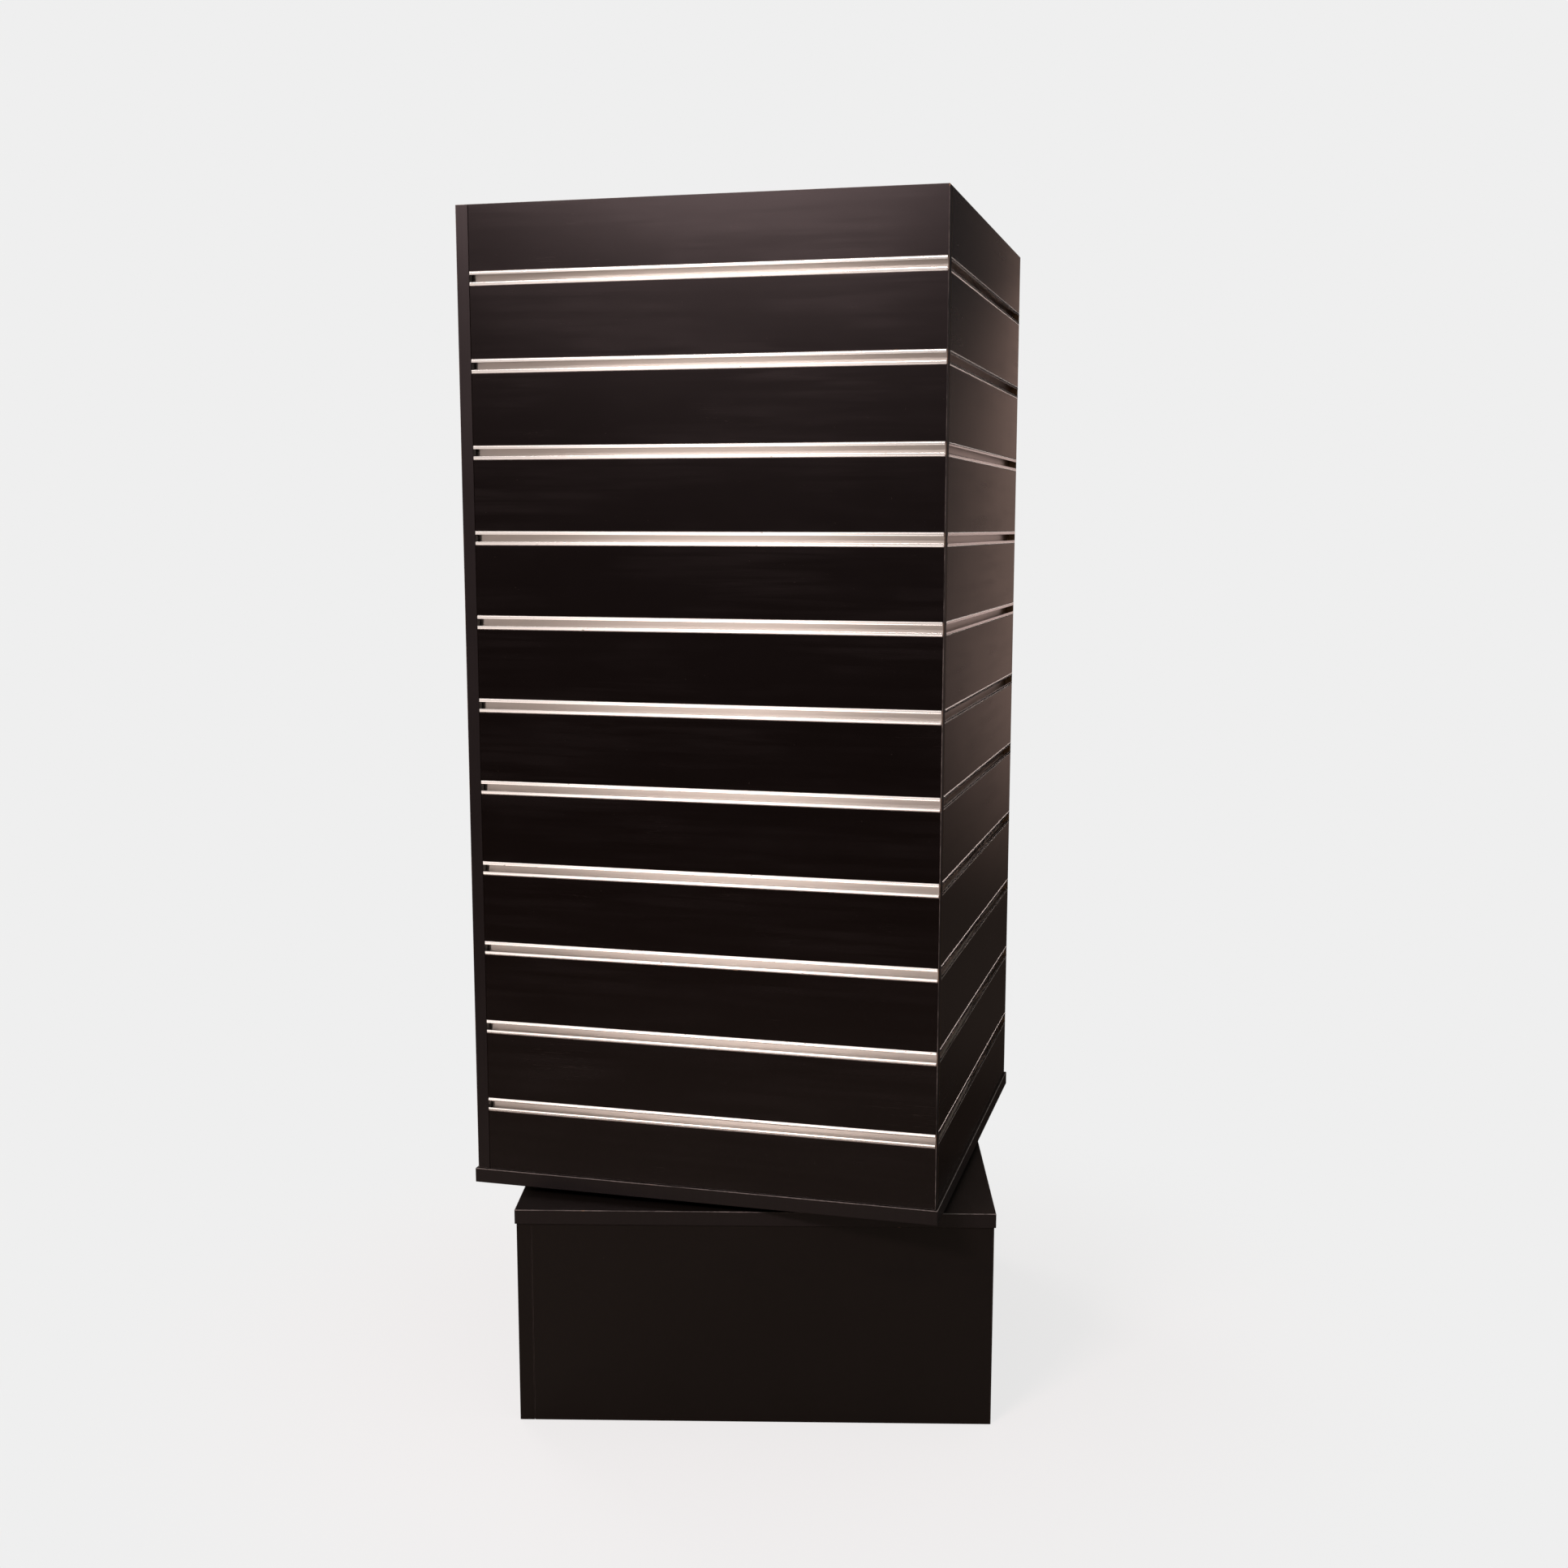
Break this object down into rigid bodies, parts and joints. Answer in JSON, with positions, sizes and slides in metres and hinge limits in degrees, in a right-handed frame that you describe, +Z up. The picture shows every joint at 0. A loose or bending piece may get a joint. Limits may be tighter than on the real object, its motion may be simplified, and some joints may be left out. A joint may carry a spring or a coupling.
{
  "type": "rotating slatwall display stand",
  "caption": "Square slatwall tower with aluminium-lined grooves on every side, on a turntable board that turns on a ball bearing over a closed box base.",
  "frame": {"origin": "on the turning axis at the floor, the bottom centre of the bounding box", "axes": "+Z up along the turning axis; -Y out of the tower's front side, +X out of its right side; at rest the base stands turned 13.4 degrees about +Z under the tower"},
  "size_m": [0.707, 0.707, 1.4668],
  "materials": {
    "slat_laminate": "satin black laminate on fibreboard, lightly scuffed",
    "board_laminate": "matt black laminate on fibreboard, edges worn",
    "groove_aluminium": "satin extruded",
    "zinc_steel": "zinc plated pressed sheet",
    "bearing_steel": "polished balls in a plain cage"
  },
  "bodies": {
    "base": {"base_side_front": "board_laminate", "base_side_right": "board_laminate", "base_side_back": "board_laminate", "base_side_left": "board_laminate", "base_top_board": "board_laminate", "base_bottom_board": "board_laminate", "bearing_lower_plate": "zinc_steel"},
    "tower": {"slat_panel_front": "slat_laminate", "slat_panel_right": "slat_laminate", "slat_panel_back": "slat_laminate", "slat_panel_left": "slat_laminate", "groove_insert_front_01": "groove_aluminium", "groove_insert_front_02": "groove_aluminium", "groove_insert_front_03": "groove_aluminium", "groove_insert_front_04": "groove_aluminium", "groove_insert_front_05": "groove_aluminium", "groove_insert_front_06": "groove_aluminium", "groove_insert_front_07": "groove_aluminium", "groove_insert_front_08": "groove_aluminium", "groove_insert_front_09": "groove_aluminium", "groove_insert_front_10": "groove_aluminium", "groove_insert_front_11": "groove_aluminium", "groove_insert_right_01": "groove_aluminium", "groove_insert_right_02": "groove_aluminium", "groove_insert_right_03": "groove_aluminium", "groove_insert_right_04": "groove_aluminium", "groove_insert_right_05": "groove_aluminium", "groove_insert_right_06": "groove_aluminium", "groove_insert_right_07": "groove_aluminium", "groove_insert_right_08": "groove_aluminium", "groove_insert_right_09": "groove_aluminium", "groove_insert_right_10": "groove_aluminium", "groove_insert_right_11": "groove_aluminium", "groove_insert_back_01": "groove_aluminium", "groove_insert_back_02": "groove_aluminium", "groove_insert_back_03": "groove_aluminium", "groove_insert_back_04": "groove_aluminium", "groove_insert_back_05": "groove_aluminium", "groove_insert_back_06": "groove_aluminium", "groove_insert_back_07": "groove_aluminium", "groove_insert_back_08": "groove_aluminium", "groove_insert_back_09": "groove_aluminium", "groove_insert_back_10": "groove_aluminium", "groove_insert_back_11": "groove_aluminium", "groove_insert_left_01": "groove_aluminium", "groove_insert_left_02": "groove_aluminium", "groove_insert_left_03": "groove_aluminium", "groove_insert_left_04": "groove_aluminium", "groove_insert_left_05": "groove_aluminium", "groove_insert_left_06": "groove_aluminium", "groove_insert_left_07": "groove_aluminium", "groove_insert_left_08": "groove_aluminium", "groove_insert_left_09": "groove_aluminium", "groove_insert_left_10": "groove_aluminium", "groove_insert_left_11": "groove_aluminium", "top_board": "board_laminate", "turntable_board": "board_laminate", "bearing_upper_plate": "zinc_steel"},
    "ball_cage": {"bearing_ball_cage": "bearing_steel"}
  },
  "joints": [
    {"name": "tower_spin", "type": "hinge", "parent": "base", "child": "tower", "pos_m": [0, 0, 0.277], "axis": [0, 0, 1], "continuous": true},
    {"name": "cage_spin", "type": "hinge", "parent": "base", "child": "ball_cage", "pos_m": [0, 0, 0.277], "axis": [0, 0, 1], "continuous": true}
  ],
  "couplings": [
    {"joint": "cage_spin", "follows": "tower_spin", "ratio": 0.5}
  ]
}
